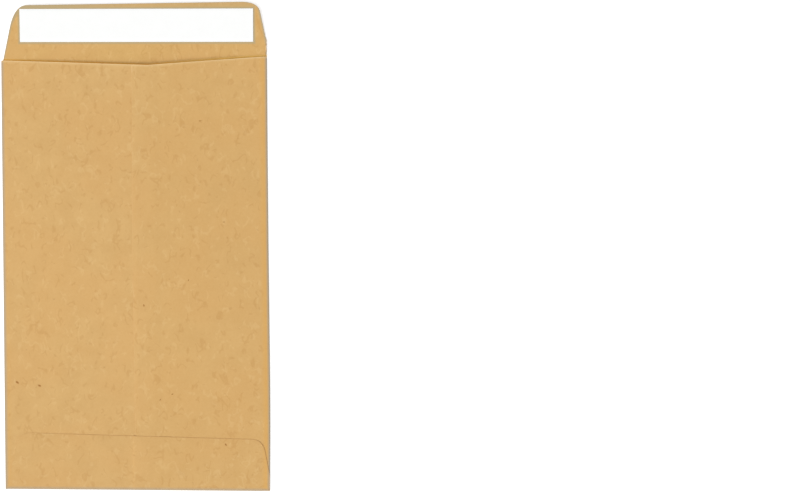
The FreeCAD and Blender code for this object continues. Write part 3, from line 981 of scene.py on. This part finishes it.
def liner_paper():
    """White release paper with a smooth silicone face and a faint, fine tooth."""
    material, nodes, surface = new_material("liner_paper")
    place = nodes.read("flat_place")["Vector"]
    formation = nodes.use(FORMATION, {"Place": place, "Cloud Size": 4.0, "Tooth Size": 0.3})
    clouds, tooth = formation.outputs["Clouds"], formation.outputs["Tooth"]
    cloudy, clear = (0.955, 0.96, 0.95, 1), (0.97, 0.975, 0.967, 1)
    tone = nodes.mix(nodes.ramp(clouds, 0.3, 0.7), cloudy, clear)
    nodes.feed(surface.inputs["Base Color"], tone)
    nodes.feed(surface.inputs["Roughness"], nodes.ramp(clouds, 0.3, 0.7, 0.45, 0.38))
    surface.inputs["Coat Weight"].default_value = 0.3
    surface.inputs["Coat Roughness"].default_value = 0.3
    nodes.bump(surface, tooth, 0.3, 0.006)
    return material


def seal_adhesive():
    """The pale, slightly cloudy adhesive under the liner."""
    material, nodes, surface = new_material("seal_adhesive")
    place = nodes.add("ShaderNodeTexCoord").outputs["Object"]
    place = nodes.scale(place, 1 / MM)
    formation = nodes.use(FORMATION, {"Place": place, "Cloud Size": 2.0, "Tooth Size": 0.4})
    clouds, tooth = formation.outputs["Clouds"], formation.outputs["Tooth"]
    tone = nodes.mix(nodes.ramp(clouds, 0.3, 0.7), (0.74, 0.66, 0.46, 1), (0.80, 0.73, 0.55, 1))
    nodes.feed(surface.inputs["Base Color"], tone)
    nodes.feed(surface.inputs["Roughness"], nodes.ramp(tooth, 0.3, 0.7, 0.25, 0.4))
    nodes.bump(surface, tooth, 0.3, 0.01)
    return material


def seen_directly(nodes):
    """1 for what the camera sees directly, by a gloss reflection or through glass, else 0."""
    path = nodes.add("ShaderNodeLightPath").outputs
    seen = nodes.math("MAXIMUM", path["Is Camera Ray"], path["Is Glossy Ray"])
    return nodes.math("MAXIMUM", seen, path["Is Transmission Ray"])


def studio_floor():
    """A plain pale floor that looks white and keeps the object's soft shadow."""
    half, drop, glow_strength = 2.0, 0.02 * MM, 0.56
    corners = [(-half, -half, 0), (half, -half, 0), (half, half, 0), (-half, half, 0)]
    mesh = bpy.data.meshes.new("studio_floor")
    mesh.from_pydata(corners, [], [(0, 1, 2, 3)])
    floor = bpy.data.objects.new("studio_floor", mesh)
    floor.location.z = -drop
    bpy.context.collection.objects.link(floor)
    material = bpy.data.materials.new("studio_floor")
    material.use_nodes = True
    material.node_tree.nodes.clear()
    nodes = Nodes(material.node_tree)
    pale = nodes.add("ShaderNodeBsdfDiffuse", {"Color": (0.8, 0.8, 0.8, 1)})
    strength = nodes.math("MULTIPLY", seen_directly(nodes), glow_strength)
    glow = nodes.add("ShaderNodeEmission", {"Strength": strength})
    both = nodes.add("ShaderNodeAddShader", {0: pale.outputs[0], 1: glow.outputs[0]})
    nodes.add("ShaderNodeOutputMaterial", {"Surface": both.outputs[0]})
    mesh.materials.append(material)


def studio_light():
    """A white surround that looks white, and a broad soft lamp from the body's lower left."""
    world = bpy.data.worlds.new("studio_surround")
    bpy.context.scene.world = world
    world.use_nodes = True
    world.node_tree.nodes.clear()
    nodes = Nodes(world.node_tree)
    strength = nodes.ramp(seen_directly(nodes), 0.0, 1.0, 0.58, 1.0)
    sky = nodes.add("ShaderNodeBackground", {"Color": (1, 1, 1, 1), "Strength": strength})
    nodes.add("ShaderNodeOutputWorld", {"Surface": sky.outputs[0]})
    lamp = bpy.data.lights.new("soft_lamp", "SUN")
    lamp.energy = 1.97
    lamp.angle = math.radians(35)
    lamp_object = bpy.data.objects.new("soft_lamp", lamp)
    lamp_object.rotation_euler = Euler((math.radians(48), 0, math.radians(-40)))
    bpy.context.collection.objects.link(lamp_object)


def set_camera():
    """The photograph's viewing angle and framing, from high above and a little to the right."""
    camera = bpy.data.cameras.new("camera")
    camera.lens = 60
    camera.sensor_width = 36
    camera.clip_start = 0.01
    camera_object = bpy.data.objects.new("camera", camera)
    camera_object.location = Vector((99.34, 14.64, 373.83)) * MM
    turns = (-1.079, 3.636, -0.279)
    camera_object.rotation_euler = Euler([math.radians(turn) for turn in turns])
    bpy.context.collection.objects.link(camera_object)
    bpy.context.scene.camera = camera_object
    bpy.context.scene.view_settings.view_transform = "Standard"


set_camera()
studio_light()
studio_floor()

envelope = folded_envelope()
envelope.data.materials.append(kraft_paper())
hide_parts("folded_sheet")
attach(envelope, "root")

strip = peel_strip()
strip.data.materials.append(liner_paper())
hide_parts("release_liner")
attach(strip, "root")

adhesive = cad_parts["seal_adhesive"]
adhesive.data.materials.clear()
adhesive.data.materials.append(seal_adhesive())
